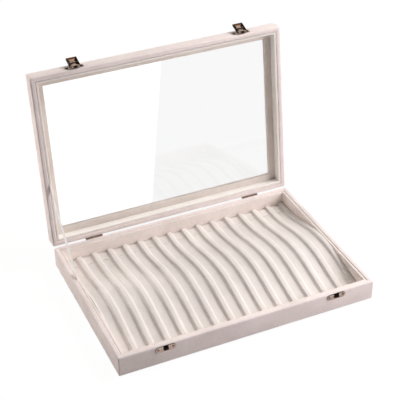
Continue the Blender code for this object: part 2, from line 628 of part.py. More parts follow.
def build():
    clear_scene()
    looks = {
        "velvet": material("pale_velvet", (0.78, 0.70, 0.66), 0.95),
        "liner": material("liner_velvet", (0.72, 0.63, 0.57), 0.95),
        "pad": material("pad_velvet", (0.86, 0.80, 0.77), 0.95),
        "cover": material("cover_velvet", (0.70, 0.62, 0.58), 0.95),
        "board": material("fibreboard", (0.42, 0.30, 0.20), 0.80),
        "glass": material("clear_glass", (0.95, 0.97, 0.97), 0.03, 0.0, 1.0),
        "nickel": material("polished_nickel", (0.55, 0.50, 0.45), 0.20, 1.0),
        "ribbon": material("satin_ribbon", (0.90, 0.86, 0.86), 0.45),
    }
    lid = pivot("lid_pivot", None, HINGE_AXIS, -LID_OPEN_ANGLE)
    base_walls = base_shell(looks)
    fluted_pad(looks)
    lid_walls = lid_shell(looks, lid)
    screw = screw_mesh(looks["nickel"])
    hinges(looks, screw, base_walls, lid_walls, lid)
    latches(looks, screw, base_walls, lid_walls, lid)
    ribbon_stay(looks["ribbon"])


build()
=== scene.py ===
import math

import bmesh
import bpy
from mathutils import Matrix, Vector, noise


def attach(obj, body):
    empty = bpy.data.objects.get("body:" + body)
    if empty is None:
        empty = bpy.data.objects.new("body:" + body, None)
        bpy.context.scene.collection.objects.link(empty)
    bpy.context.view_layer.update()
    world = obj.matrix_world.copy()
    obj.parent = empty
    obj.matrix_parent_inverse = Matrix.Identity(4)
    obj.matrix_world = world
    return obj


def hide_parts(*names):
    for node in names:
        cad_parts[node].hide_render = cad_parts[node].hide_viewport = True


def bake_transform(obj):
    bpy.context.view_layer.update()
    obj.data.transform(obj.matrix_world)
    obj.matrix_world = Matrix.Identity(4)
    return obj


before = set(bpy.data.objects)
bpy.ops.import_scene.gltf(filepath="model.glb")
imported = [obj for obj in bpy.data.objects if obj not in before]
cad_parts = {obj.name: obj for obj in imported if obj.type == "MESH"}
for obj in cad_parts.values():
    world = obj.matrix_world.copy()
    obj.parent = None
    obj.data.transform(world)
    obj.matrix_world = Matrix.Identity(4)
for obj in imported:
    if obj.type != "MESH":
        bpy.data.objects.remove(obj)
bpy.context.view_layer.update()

# The camera stands where the photograph was taken from: in front of the box, to its left and
# well above it, with a long lens.
photo_place = Vector((-0.48195, -1.04209, 0.91408))
photo_right = Vector((0.910554, -0.413344, -0.006227))
photo_up = Vector((0.23763, 0.511028, 0.826064))
photo_back = Vector((-0.338266, -0.753656, 0.563541))
photo_turn = Matrix((photo_right, photo_up, photo_back)).transposed().to_4x4()
bpy.ops.object.camera_add(location=photo_place)
photo_camera = bpy.context.active_object
photo_camera.name = "photo_camera"
photo_camera.matrix_world = Matrix.Translation(photo_place) @ photo_turn
photo_camera.data.lens = 99.567
photo_camera.data.sensor_width = 36
photo_camera.data.clip_start = 0.05
bpy.context.scene.camera = photo_camera


# The base's frame is four fibreboards glued at mitred corners, with one sheet of pale velvet
# pulled round them. The velvet rounds every edge, and its folds show as fine mitre seams.
BOX_X = 0.175
BOX_Y = 0.120
WALL = 0.0063
BASE_LOW = 0.0010
BASE_RIM = 0.0290
EDGE_ROUND = 0.0018
RIM_ROUND = 0.0009
FOLD = 0.0002
TINY = 0.00002


def add_block(name, low, high):
    """A new block with these corners, the start of a piece that is shaped from it."""
    bpy.ops.object.select_all(action="DESELECT")
    middle = [(a + b) / 2 for a, b in zip(low, high)]
    size = [b - a for a, b in zip(low, high)]
    bpy.ops.mesh.primitive_cube_add(size=1, location=middle, scale=size)
    bpy.ops.object.transform_apply(location=True, rotation=True, scale=True)
    block = bpy.context.active_object
    block.name = block.data.name = name
    return block


def pick(kind, test):
    """In edit mode, selects the faces or edges that pass the test. True if any did."""
    bpy.ops.mesh.select_mode(type=kind)
    bpy.ops.mesh.select_all(action="DESELECT")
    shape = bmesh.from_edit_mesh(bpy.context.edit_object.data)
    shape.normal_update()
    parts = [p for p in (shape.faces if kind == "FACE" else shape.edges) if test(p)]
    for part in parts:
        part.select_set(True)
    bmesh.update_edit_mesh(bpy.context.edit_object.data)
    return bool(parts)


def ends(edge):
    """The places of an edge's two ends."""
    return [v.co for v in edge.verts]


def run(edge, axis):
    """How far an edge runs along an axis."""
    a, b = ends(edge)
    return abs(getattr(a, axis) - getattr(b, axis))


def round_off(width, segments, test):
    """Rounds the edges that pass the test."""
    if pick("EDGE", test):
        bpy.ops.mesh.bevel(offset=width, offset_type="OFFSET", segments=segments, profile=0.5,
                           affect="EDGES")


def smooth(piece, degrees=35):
    """Shades a piece smooth, apart from the edges that are sharper than this."""
    bpy.ops.object.select_all(action="DESELECT")
    piece.select_set(True)
    bpy.context.view_layer.objects.active = piece
    bpy.ops.object.shade_smooth_by_angle(angle=math.radians(degrees))
    return piece


def fold_mitre(ring, side_x, side_y, outer_x, outer_y, width, high_z, rounding):
    """Presses the fold of the cloth into one corner's mitre, on top of a ring of boards."""
    corner_at = Vector((side_x * outer_x, side_y * outer_y, high_z))
    across_fold = Vector((side_x, -side_y, 0)).normalized()

    def from_fold(p):
        return (p - corner_at).dot(across_fold)

    def near_fold(face):
        places = [v.co for v in face.verts]
        beside = [p for p in places if abs(from_fold(p)) < width]
        return (face.calc_center_median().z > high_z - rounding / 2
                and all(p.x * side_x > 0 and p.y * side_y > 0 for p in beside)
                and any(abs(from_fold(p)) < width * 1.5 for p in places))

    for shift in (-FOLD, 0, FOLD):
        pick("FACE", near_fold)
        bpy.ops.mesh.bisect(plane_co=corner_at + across_fold * shift, plane_no=across_fold)
    shape = bmesh.from_edit_mesh(ring.data)
    for v in shape.verts:
        if abs(from_fold(v.co)) < TINY / 2 and v.co.z > high_z - TINY and v.co.x * side_x > 0:
            v.co.z -= FOLD * 0.9
    bmesh.update_edit_mesh(ring.data)


def board_ring(name, outer_x, outer_y, width, low_z, high_z, rounding, inner_rounding):
    """Four boards mitred into a frame under one cloth, with rounded corners and rims."""
    ring = add_block(name, (-outer_x, -outer_y, low_z), (outer_x, outer_y, high_z))
    bpy.ops.object.mode_set(mode="EDIT")
    pick("FACE", lambda f: abs(f.normal.z) > 0.9)
    bpy.ops.mesh.inset(thickness=width, depth=0)
    bpy.ops.mesh.delete(type="FACE")
    bpy.ops.mesh.select_all(action="DESELECT")
    bpy.ops.mesh.select_mode(type="EDGE")
    bpy.ops.mesh.select_non_manifold()
    bpy.ops.mesh.bridge_edge_loops()

    inner_x, inner_y = outer_x - width, outer_y - width
    round_off(rounding, 5, lambda e: all(abs(p.x) > outer_x - TINY or abs(p.y) > outer_y - TINY
                                         for p in ends(e)))
    round_off(inner_rounding, 4, lambda e: run(e, "z") < TINY and all(
        abs(p.x) < inner_x + TINY and abs(p.y) < inner_y + TINY for p in ends(e)))
    for side_x, side_y in ((1, 1), (1, -1), (-1, 1), (-1, -1)):
        fold_mitre(ring, side_x, side_y, outer_x, outer_y, width, high_z, rounding)
    bpy.ops.mesh.select_all(action="SELECT")
    bpy.ops.mesh.remove_doubles(threshold=0.000005)
    bpy.ops.mesh.normals_make_consistent(inside=False)
    bpy.ops.object.mode_set(mode="OBJECT")
    return smooth(ring, 40)


def add_node(look, kind, at=(0, 0), **settings):
    """A node in a material, with its settings and the values of its inputs."""
    node = look.node_tree.nodes.new(kind)
    node.location = at
    for key, value in settings.items():
        if hasattr(node, key):
            setattr(node, key, value)
        else:
            node.inputs[key.replace("_", " ")].default_value = value
    return node


def new_look(name, roughness, **more):
    """A material with its surface shader, and the places of the piece that it goes on."""
    look = bpy.data.materials.new(name)
    look.use_nodes = True
    surface = look.node_tree.nodes["Principled BSDF"]
    surface.inputs["Roughness"].default_value = roughness
    for key, value in more.items():
        surface.inputs[key.replace("_", " ")].default_value = value
    place = add_node(look, "ShaderNodeTexCoord", (-1400, 0)).outputs["Object"]
    return look, surface, place, look.node_tree.links.new


def velvet(name, shade, lit, pile_height, lie=(1, 1, 1)):
    """Short-pile velvet: brushed patches between a shaded and a lit tone, and the pile's grain."""
    look, surface, place, join = new_look(name, 0.92, Sheen_Weight=0.30, Sheen_Roughness=0.42,
                                          Sheen_Tint=(1.0, 0.97, 0.95, 1), Specular_IOR_Level=0.18)
    brushed = add_node(look, "ShaderNodeMapping", (-1200, 200), Scale=lie)
    join(place, brushed.inputs["Vector"])
    patches = add_node(look, "ShaderNodeTexNoise", (-1000, 300), Scale=26, Detail=3, Roughness=0.5)
    strokes = add_node(look, "ShaderNodeTexNoise", (-1000, 60), Scale=210, Detail=2, Roughness=0.6)
    grain = add_node(look, "ShaderNodeTexNoise", (-1000, -200), Scale=2600, Detail=2, Roughness=0.7)
    for texture in (patches, strokes):
        join(brushed.outputs["Vector"], texture.inputs["Vector"])
    join(place, grain.inputs["Vector"])
    share = add_node(look, "ShaderNodeMath", (-780, 200), operation="MULTIPLY_ADD")
    share.inputs[1].default_value = 0.45
    join(strokes.outputs["Fac"], share.inputs[0])
    join(patches.outputs["Fac"], share.inputs[2])
    tones = add_node(look, "ShaderNodeValToRGB", (-560, 200))
    tones.color_ramp.elements[0].position = 0.52
    tones.color_ramp.elements[0].color = (*shade, 1)
    tones.color_ramp.elements[1].position = 0.92
    tones.color_ramp.elements[1].color = (*lit, 1)
    join(share.outputs["Value"], tones.inputs["Fac"])
    join(tones.outputs["Color"], surface.inputs["Base Color"])
    rise = add_node(look, "ShaderNodeMath", (-560, -120), operation="MULTIPLY_ADD")
    rise.inputs[1].default_value = 0.5
    join(strokes.outputs["Fac"], rise.inputs[0])
    join(grain.outputs["Fac"], rise.inputs[2])
    bump = add_node(look, "ShaderNodeBump", (-260, -160), Strength=0.55, Distance=pile_height)
    join(rise.outputs["Value"], bump.inputs["Height"])
    join(bump.outputs["Normal"], surface.inputs["Normal"])
    return look


def dress(piece, look, body, slot, *nodes):
    """Gives a finished piece its material, its body and the solids that it stands for."""
    piece.data.materials.clear()
    piece.data.materials.append(look)
    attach(piece, body)
    if nodes:
        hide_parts(*nodes)
    return piece


wall_velvet = velvet("wall_velvet", (0.87, 0.765, 0.74), (0.97, 0.865, 0.84), 0.00012)
base_frame = board_ring("base_frame", BOX_X, BOX_Y, WALL, BASE_LOW, BASE_RIM, EDGE_ROUND,
                        RIM_ROUND)
dress(base_frame, wall_velvet, "base", "pale_velvet",
      "base_front_wall", "base_right_wall", "base_back_wall", "base_left_wall")


# Under the box a raw fibreboard closes the frame, and a sheet of flat felt is glued over board
# and frame so that the box slides and doesn't scratch. The pad's backing card is raw board too.
FELT_X = 0.172
FELT_Y = 0.117
FELT = 0.0007
FELT_CORNER = 0.003
board_look, surface, place, join = new_look("raw_fibreboard", 0.85)
fibres = add_node(board_look, "ShaderNodeTexNoise", (-900, 100), Scale=700, Detail=4, Roughness=0.7)
tones = add_node(board_look, "ShaderNodeValToRGB", (-500, 100))
tones.color_ramp.elements[0].color = (0.20, 0.13, 0.08, 1)
tones.color_ramp.elements[1].color = (0.42, 0.31, 0.21, 1)
join(place, fibres.inputs["Vector"])
join(fibres.outputs["Fac"], tones.inputs["Fac"])
join(tones.outputs["Color"], surface.inputs["Base Color"])
for node in ("bottom_board", "insert_backing_card"):
    for number in range(len(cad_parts[node].data.materials)):
        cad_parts[node].data.materials[number] = board_look

felt = add_block("felt_underside", (-FELT_X, -FELT_Y, 0), (FELT_X, FELT_Y, FELT))
bpy.ops.object.mode_set(mode="EDIT")
round_off(FELT_CORNER, 6, lambda e: run(e, "z") > 0.0005)
round_off(0.0002, 2, lambda e: run(e, "z") < 0.0001)
bpy.ops.object.mode_set(mode="OBJECT")
smooth(felt, 40)
felt_look = velvet("flat_felt", (0.46, 0.41, 0.385), (0.60, 0.54, 0.51), 0.00006)
dress(felt, felt_look, "base", "cover_velvet", "bottom_cover_sheet")


# Thin boards wrapped in the same velvet line the walls inside. They stand a hair away from the
# walls and stop just under the rim, so a fine line runs round between the two.
LINER_GAP = 0.0003
LINER_X = BOX_X - WALL - LINER_GAP
LINER_Y = BOX_Y - WALL - LINER_GAP
LINER = 0.0030
LINER_LOW = 0.0038
LINER_TOP = 0.0282
LINER_BACK_ROUND = 0.0006
LINER_ROUND = 0.0008
liner_velvet = velvet("liner_velvet", (0.88, 0.78, 0.725), (0.97, 0.88, 0.83), 0.00012)
base_liner = board_ring("base_liner", LINER_X, LINER_Y, LINER, LINER_LOW, LINER_TOP,
                        LINER_BACK_ROUND, LINER_ROUND)
dress(base_liner, liner_velvet, "base", "liner_velvet",
      "base_front_liner", "base_right_liner", "base_back_liner", "base_left_liner")


# The insert is one pad of foam under velvet, with fifteen channels pressed and glued into it from
# front to back. It arches up in the middle, and its ridges lean, with a steep flank on their left.
# Near the back a short slit is cut across each channel.
PAD_X = 0.1652
PAD_Y = 0.1102
PAD_LOW = 0.0051
PAD_EDGE = 0.0009
PITCH = 0.02197
CROWNS = [-0.1673 + PITCH * number for number in range(16)]
DEPTH = 0.0038
FRONT_CROWN = 0.0108
BACK_RISE = 0.0015
ARCH = 0.0170
ARCH_Y = -0.012
ARCH_REACH = 0.108
LEFT_FLANK = (0.0023, 0.0025)
RIGHT_FLANK = (0.0024, 0.0046)
ROUND_TOP = 0.0005
ROUND_TOP_X = 0.0045
UNEVEN = 0.00022
SLIT_Y = 0.0926
SLIT_HALF = 0.0032
SLIT_END = 0.0013
SLIT_DEPTH = 0.0013
SLIT_OPEN = 0.00032
SLIT_LIP = 0.00030
LIP_AT = 0.0011
LIP_WIDTH = 0.0006
COLUMN_STEP = 0.0013
ROW_STEP = 0.0026
GRID_MARGIN = 0.0015


def crown_height(y):
    """Height of the ridges' crowns: an arch in the middle, a little lower in front than behind."""
    along = (y - ARCH_Y) / ARCH_REACH
    arch = 0.5 * (1 + math.cos(math.pi * along)) if abs(along) < 1 else 0
    return FRONT_CROWN + BACK_RISE * (y + PAD_Y) / (2 * PAD_Y) + ARCH * arch


def pad_surface(x, y):
    """Height of the velvet over the foam at a place on the pad."""
    # the crown and the leaning flanks of the nearest ridge
    number = min(range(len(CROWNS)), key=lambda n: abs(x - CROWNS[n]))
    wander = UNEVEN * noise.noise(Vector((number * 7.3, y * 28, 0)))
    beside = x - CROWNS[number] - wander
    top, flank = LEFT_FLANK if beside < 0 else RIGHT_FLANK
    slope = min(max((abs(beside) - top) / flank, 0), 1)
    round_top = ROUND_TOP * min(abs(beside) / ROUND_TOP_X, 1) ** 2
    height = crown_height(y) - DEPTH * 0.5 * (1 - math.cos(math.pi * slope))
    height = height - round_top * (1 - slope)
    height += UNEVEN * noise.noise(Vector((x * 55, y * 22, 3.1)))

    # the slit across the channel, with its raised lips
    off_middle = min(abs(x - crown - PITCH / 2) for crown in CROWNS)
    if off_middle < SLIT_HALF + SLIT_END:
        from_slit = abs(y - SLIT_Y)
        cut = 1 - max(off_middle - SLIT_HALF, 0) / SLIT_END
        height -= SLIT_DEPTH * cut * min(1, max(0, 2 - from_slit / SLIT_OPEN))
        height += SLIT_LIP * cut * math.exp(-((from_slit - LIP_AT) / LIP_WIDTH) ** 2)

    # the pad's rounded edge
    side = min(PAD_X - abs(x), PAD_Y - abs(y))
    if side < PAD_EDGE:
        height -= PAD_EDGE * (1 - math.sqrt(1 - (1 - side / PAD_EDGE) ** 2))
    return max(height, PAD_LOW + 0.0001)


def spread(low, high, step, extra):
    """Even places from low to high, and closer ones where a detail needs them."""
    count = round((high - low) / step)
    places = [low + (high - low) * number / count for number in range(count + 1)]
    places = [p for p in places if all(abs(p - e) > step * 0.4 for e in extra)]
    return sorted(places + list(extra))


edges_in = (0.0, 0.0002, 0.0005, PAD_EDGE)
across = [-0.0054 + 0.0005 * number for number in range(9)]
across += [-0.0006 + 0.0007 * number for number in range(12)]
across = [crown + offset for crown in CROWNS for offset in across
          if abs(crown + offset) < PAD_X - 0.0014]
columns = spread(-PAD_X + GRID_MARGIN, PAD_X - GRID_MARGIN, COLUMN_STEP, across)
columns = [-PAD_X + e for e in edges_in] + columns + [PAD_X - e for e in reversed(edges_in)]
beside_slit = (SLIT_OPEN, 2 * SLIT_OPEN, LIP_AT, 0.0016, 0.0022)
slit_rows = [SLIT_Y - offset for offset in beside_slit] + [SLIT_Y]
slit_rows += [SLIT_Y + offset for offset in beside_slit]
rows = spread(-PAD_Y + GRID_MARGIN, PAD_Y - GRID_MARGIN, ROW_STEP, slit_rows)
rows = [-PAD_Y + e for e in edges_in] + rows + [PAD_Y - e for e in reversed(edges_in)]

bpy.ops.object.select_all(action="DESELECT")
bpy.ops.mesh.primitive_grid_add(x_subdivisions=len(columns) - 1, y_subdivisions=len(rows) - 1,
                                size=1)
pad = bpy.context.active_object
pad.name = pad.data.name = "fluted_insert"
bpy.ops.object.transform_apply(location=True, rotation=True, scale=True)
x_at = dict(zip(sorted({round(v.co.x, 5) for v in pad.data.vertices}), columns))
y_at = dict(zip(sorted({round(v.co.y, 5) for v in pad.data.vertices}), rows))
for vertex in pad.data.vertices:
    x = x_at[round(vertex.co.x, 5)]
    y = y_at[round(vertex.co.y, 5)]
    vertex.co = (x, y, pad_surface(x, y))
bpy.ops.object.mode_set(mode="EDIT")
bpy.ops.mesh.select_mode(type="EDGE")
bpy.ops.mesh.select_all(action="DESELECT")
bpy.ops.mesh.select_non_manifold()
bpy.ops.mesh.extrude_edges_move(TRANSFORM_OT_translate={"value": (0, 0, -0.001)})
bpy.ops.object.mode_set(mode="OBJECT")
for vertex in pad.data.vertices:
    if vertex.select:
        vertex.co.z = PAD_LOW
bpy.ops.object.mode_set(mode="EDIT")
bpy.ops.mesh.edge_face_add()
bpy.ops.mesh.select_all(action="SELECT")
bpy.ops.mesh.normals_make_consistent(inside=False)
bpy.ops.object.mode_set(mode="OBJECT")
smooth(pad, 60)
pad_velvet = velvet("insert_velvet", (0.80, 0.745, 0.71), (0.88, 0.825, 0.79), 0.00012,
                    (1, 0.35, 1))
dress(pad, pad_velvet, "base", "pad_velvet", "fluted_pad")


# The lid's frame is made as the base's is: four boards and a thin top frame under one sheet of
# velvet, which goes over the top and is folded in round the window.
HINGE_LINE = Vector((0, 0.1207, 0.02915))
LID_OPEN = 97.9
LID_RIM = 0.0293
LID_TOP = 0.0500
WINDOW_X = 0.1566
WINDOW_Y = 0.1016
TOP_FRAME_LOW = 0.0478


def apply_place(piece):
    """Moves a piece's place and turn into its mesh."""
    bpy.ops.object.select_all(action="DESELECT")
    piece.select_set(True)
    bpy.context.view_layer.objects.active = piece
    bpy.ops.object.transform_apply(location=True, rotation=True, scale=True)


def turn_about(piece, line, degrees):
    """Turns a piece round a line that runs left to right, and keeps the turn in its mesh."""
    turn = Matrix.Rotation(math.radians(degrees), 4, "X")
    piece.matrix_world = Matrix.Translation(line) @ turn @ Matrix.Translation(-line)
    apply_place(piece)
    return piece


lid_frame = add_block("lid_frame", (-BOX_X, -BOX_Y, LID_RIM), (BOX_X, BOX_Y, LID_TOP))
bpy.ops.object.mode_set(mode="EDIT")
pick("FACE", lambda f: f.normal.z < -0.9)
bpy.ops.mesh.inset(thickness=WALL, depth=0)
bpy.ops.mesh.extrude_region_move(TRANSFORM_OT_translate={"value": (0, 0, TOP_FRAME_LOW - LID_RIM)})
bpy.ops.mesh.inset(thickness=BOX_X - WALL - WINDOW_X, depth=0)
bpy.ops.mesh.delete(type="FACE")
pick("FACE", lambda f: f.normal.z > 0.9)
bpy.ops.mesh.inset(thickness=BOX_X - WINDOW_X, depth=0)
bpy.ops.mesh.delete(type="FACE")
bpy.ops.mesh.select_mode(type="EDGE")
bpy.ops.mesh.select_all(action="DESELECT")
bpy.ops.mesh.select_non_manifold()
bpy.ops.mesh.bridge_edge_loops()


def lid_edge(e):
    """The lid's outer edges, the inner edge of its rim and the upper edge of its window."""
    a, b = ends(e)
    outer = all(abs(p.x) > BOX_X - 0.0001 or abs(p.y) > BOX_Y - 0.0001 for p in (a, b))
    if run(e, "z") > TINY:
        return outer

    def within(x, y):
        return all(abs(p.x) < x + 0.0001 and abs(p.y) < y + 0.0001 for p in (a, b))

    rim = a.z < LID_RIM + 0.0001 and within(BOX_X - WALL, BOX_Y - WALL)
    window = a.z > LID_TOP - 0.0001 and within(WINDOW_X, WINDOW_Y)
    return outer or rim or window


round_off(EDGE_ROUND, 5, lid_edge)
bpy.ops.mesh.select_all(action="SELECT")
bpy.ops.mesh.normals_make_consistent(inside=False)
bpy.ops.object.mode_set(mode="OBJECT")
smooth(lid_frame, 40)
turn_about(lid_frame, HINGE_LINE, -LID_OPEN)
dress(lid_frame, wall_velvet, "lid", "pale_velvet",
      *[f"lid_{side}_wall" for side in ("front", "right", "back", "left")],
      *[f"lid_top_{side}_rail" for side in ("front", "right", "back", "left")])


# A pane of clear float glass with ground edges lies in the lid, under the top frame. It is clean
# but for the faintest haze.
PANE_X = 0.1646
PANE_Y = 0.1096
PANE_LOW = 0.0455
PANE_TOP = 0.0475
PANE_EDGE = 0.0003
pane = add_block("glass_window", (-PANE_X, -PANE_Y, PANE_LOW), (PANE_X, PANE_Y, PANE_TOP))
bpy.ops.object.mode_set(mode="EDIT")
round_off(PANE_EDGE, 1, lambda e: True)
bpy.ops.object.mode_set(mode="OBJECT")
turn_about(pane, HINGE_LINE, -LID_OPEN)
glass_look, surface, place, join = new_look(
    "float_glass", 0.0, Transmission_Weight=1.0, IOR=1.5, Specular_IOR_Level=0.15,
    Base_Color=(0.994, 0.996, 0.996, 1))
wipes = add_node(glass_look, "ShaderNodeTexNoise", (-900, 0), Scale=14, Detail=3)
haze = add_node(glass_look, "ShaderNodeMapRange", (-500, 0), From_Min=0.55, From_Max=0.8,
                To_Min=0.0, To_Max=0.02)
join(place, wipes.inputs["Vector"])
join(wipes.outputs["Fac"], haze.inputs["Value"])
join(haze.outputs["Result"], surface.inputs["Roughness"])
dress(pane, glass_look, "lid", "clear_glass", "glass_pane")


# A second frame of thin boards under velvet is pressed into the lid below the pane, and holds
# it against the top frame.
INNER_FRAME = 0.0118
INNER_FRAME_LOW = 0.0430
INNER_FRAME_TOP = 0.0452
inner_frame = board_ring("lid_inner_frame", LINER_X, LINER_Y, INNER_FRAME, INNER_FRAME_LOW,
                         INNER_FRAME_TOP, LINER_ROUND, LINER_ROUND)
turn_about(inner_frame, HINGE_LINE, -LID_OPEN)
# The inner frame's velvet has darker tones than the liners', a painted shade for the shadow that
# the lid's walls cast on it.
painted_shade_frame_velvet = velvet("inner_frame_velvet", (0.78, 0.70, 0.64), (0.88, 0.80, 0.74), 0.00012)
dress(inner_frame, painted_shade_frame_velvet, "lid", "liner_velvet",
      *[f"lid_inner_{side}_rail" for side in ("front", "right", "back", "left")])


# The lid has liner boards like the base's, wrapped in velvet and glued to its walls. They
# press the inner frame against the glass.
LID_LINER_LOW = 0.0301
LID_LINER_TOP = 0.0427
lid_liner = board_ring("lid_liner", LINER_X, LINER_Y, LINER, LID_LINER_LOW, LID_LINER_TOP,
                       LINER_BACK_ROUND, LINER_ROUND)
turn_about(lid_liner, HINGE_LINE, -LID_OPEN)
# The lid liners' velvet has lighter tones than the base's, painted light that makes up for the
# light the lid's walls keep off them.
painted_light_liner_velvet = velvet("lid_liner_velvet", (0.95, 0.89, 0.84), (0.99, 0.95, 0.91), 0.00012)
dress(lid_liner, painted_light_liner_velvet, "lid", "liner_velvet",
      *[f"lid_{side}_liner" for side in ("front", "right", "back", "left")])


# Small pan-head screws with a cross recess hold every metal plate. They are plated like the
# plates, in a dark polished nickel, and driven through the velvet into the boards.
nickel, surface, place, join = new_look("polished_nickel", 0.2, Metallic=1.0)
wear = add_node(nickel, "ShaderNodeTexNoise", (-1000, 200), Scale=420, Detail=4, Roughness=0.6)
scratches = add_node(nickel, "ShaderNodeTexNoise", (-1000, -100), Scale=2400, Detail=2)
tones = add_node(nickel, "ShaderNodeValToRGB", (-560, 260))
tones.color_ramp.elements[0].position = 0.35
tones.color_ramp.elements[0].color = (0.40, 0.32, 0.27, 1)
tones.color_ramp.elements[1].position = 0.65
tones.color_ramp.elements[1].color = (0.54, 0.45, 0.39, 1)
gloss = add_node(nickel, "ShaderNodeMapRange", (-560, 0), From_Min=0.3, From_Max=0.7,
                 To_Min=0.10, To_Max=0.22)
bump = add_node(nickel, "ShaderNodeBump", (-300, -160), Strength=0.2, Distance=0.00002)
waves = add_node(nickel, "ShaderNodeTexNoise", (-1000, -400), Scale=330, Detail=1)
uneven = add_node(nickel, "ShaderNodeBump", (-560, -400), Strength=0.5, Distance=0.00035)
join(place, waves.inputs["Vector"])
join(waves.outputs["Fac"], uneven.inputs["Height"])
join(uneven.outputs["Normal"], bump.inputs["Normal"])
join(place, wear.inputs["Vector"])
join(place, scratches.inputs["Vector"])
join(wear.outputs["Fac"], tones.inputs["Fac"])
join(wear.outputs["Fac"], gloss.inputs["Value"])
# Faces marked with this attribute are painted near black: painted shade in recesses, painted dark
# reflections on sides, hooks and necks.
painted_dark_reflection_and_shade = add_node(nickel, "ShaderNodeAttribute", (-560, 520), attribute_name="painted_dark_reflection_and_shade")
painted_dark_mix = add_node(nickel, "ShaderNodeMix", (-260, 320), data_type="RGBA")
painted_dark_mix.inputs[7].default_value = (0.014, 0.010, 0.008, 1)
join(painted_dark_reflection_and_shade.outputs["Fac"], painted_dark_mix.inputs[0])
join(tones.outputs["Color"], painted_dark_mix.inputs[6])
join(painted_dark_mix.outputs[2], surface.inputs["Base Color"])
join(gloss.outputs["Result"], surface.inputs["Roughness"])
join(scratches.outputs["Fac"], bump.inputs["Height"])
join(bump.outputs["Normal"], surface.inputs["Normal"])

HEAD = 0.0015
HEAD_HEIGHT = 0.0009
SHANK = 0.0007
SHANK_LENGTH = 0.004
HEAD_ROUND = 0.0005
RECESS_HALF = 0.0008
RECESS_SLOT = 0.00016
RECESS_FLOOR = 0.0005


def add_rod(name, line, low_x, high_x, radius, sides=28):
    """A new round bar that lies from left to right along a line."""
    bpy.ops.object.select_all(action="DESELECT")
    bpy.ops.mesh.primitive_cylinder_add(vertices=sides, radius=radius, depth=high_x - low_x,
                                        location=((low_x + high_x) / 2, line.y, line.z),
                                        rotation=(0, math.radians(90), 0))
    rod = bpy.context.active_object
    rod.name = rod.data.name = name
    apply_place(rod)
    return rod


def cut_out(piece, cutter):
    """Cuts one piece's shape out of another."""
    cut = piece.modifiers.new("Cut", "BOOLEAN")
    cut.object = cutter
    cut.solver = "EXACT"
    bpy.context.view_layer.objects.active = piece
    bpy.ops.object.modifier_apply(modifier=cut.name)
    bpy.data.objects.remove(cutter)


def join_pieces(pieces, name):
    """Makes one piece of several."""
    bpy.ops.object.select_all(action="DESELECT")
    for piece in pieces:
        piece.select_set(True)
    bpy.context.view_layer.objects.active = pieces[0]
    bpy.ops.object.join()
    pieces[0].name = pieces[0].data.name = name
    return pieces[0]


def copy_of(piece, name, shift=(0, 0, 0), turn=Matrix.Identity(4)):
    """A copy of a piece with its own mesh, turned about the origin and shifted."""
    twin = piece.copy()
    twin.data = piece.data.copy()
    twin.name = twin.data.name = name
    bpy.context.scene.collection.objects.link(twin)
    twin.data.transform(Matrix.Translation(shift) @ turn)
    return twin


def paint_dark_reflection_and_shade(piece, test):
    """Marks faces painted near black, as painted shade in recesses and painted dark reflections."""
    marks = piece.data.attributes.new("painted_dark_reflection_and_shade", "FLOAT", "FACE")
    for face in piece.data.polygons:
        marks.data[face.index].value = 1.0 if test(face) else 0.0


bpy.ops.object.select_all(action="DESELECT")
bpy.ops.mesh.primitive_cylinder_add(vertices=24, radius=HEAD, depth=HEAD_HEIGHT,
                                    location=(0, 0, HEAD_HEIGHT / 2))
screw = bpy.context.active_object
apply_place(screw)
bpy.ops.object.mode_set(mode="EDIT")
pick("FACE", lambda f: f.normal.z < -0.9)
bpy.ops.mesh.inset(thickness=HEAD - SHANK, depth=0)
bpy.ops.mesh.extrude_region_move(TRANSFORM_OT_translate={"value": (0, 0, -SHANK_LENGTH)})
bpy.ops.mesh.merge(type="CENTER")
round_off(HEAD_ROUND, 4, lambda e: all(p.z > HEAD_HEIGHT - 0.0001 for p in ends(e)))
bpy.ops.object.mode_set(mode="OBJECT")
for x, y in ((RECESS_HALF, RECESS_SLOT), (RECESS_SLOT, RECESS_HALF)):
    cut_out(screw, add_block("recess", (-x, -y, RECESS_FLOOR), (x, y, HEAD_HEIGHT + 0.0003)))
smooth(screw)
# Painted near black: the cross recess's walls as painted shade, the head's sides as painted dark
# reflection.
paint_dark_reflection_and_shade(screw, lambda f: f.normal.z < 0.75)


def beside(left_x, right_x, reach, y, z):
    """The places of two screws on the left fitting and two on the right one."""
    return [(x + side * reach, y, z) for x in (left_x, right_x) for side in (-1, 1)]


def fasten(name, places, facing, body, line=None):
    """Screws on a front or back face, turned with the open lid where a line is given."""
    for number, at in enumerate(places, 1):
        turn = Matrix.Rotation(math.radians(90 if facing < 0 else -90), 4, "X")
        turn = turn @ Matrix.Rotation(0.6 + 1.7 * number, 4, "Z")
        piece = copy_of(screw, f"{name}_head_{number}", at, turn)
        if line:
            turn_about(piece, line, -LID_OPEN)
        dress(piece, nickel, body, "polished_nickel", f"{name}_{number}")


# Two butt hinges join lid and base behind. Each has two pressed leaves screwed to the back, with
# rolled knuckles that take turns on one steel pin.
HINGE_X = 0.1175
LEAF_X = 0.0120
LEAF_Y = 0.1203
LEAF = 0.0007
LEAF_START = 0.0015
LEAF_HEIGHT = 0.0100
LEAF_ROUND = 0.0016
NECK_HEIGHT = 0.0006
KNUCKLE = 0.0012
KNUCKLE_MOUTH = 0.0007
BASE_KNUCKLES = ((-0.0120, -0.0042), (0.0042, 0.0120))
LID_KNUCKLES = ((-0.0039, 0.0039),)
HINGE_ROD = 0.0005
HINGE_ROD_REACH = 0.0122
LEAF_SCREW_X = 0.0075
LEAF_SCREW_Z = 0.0065


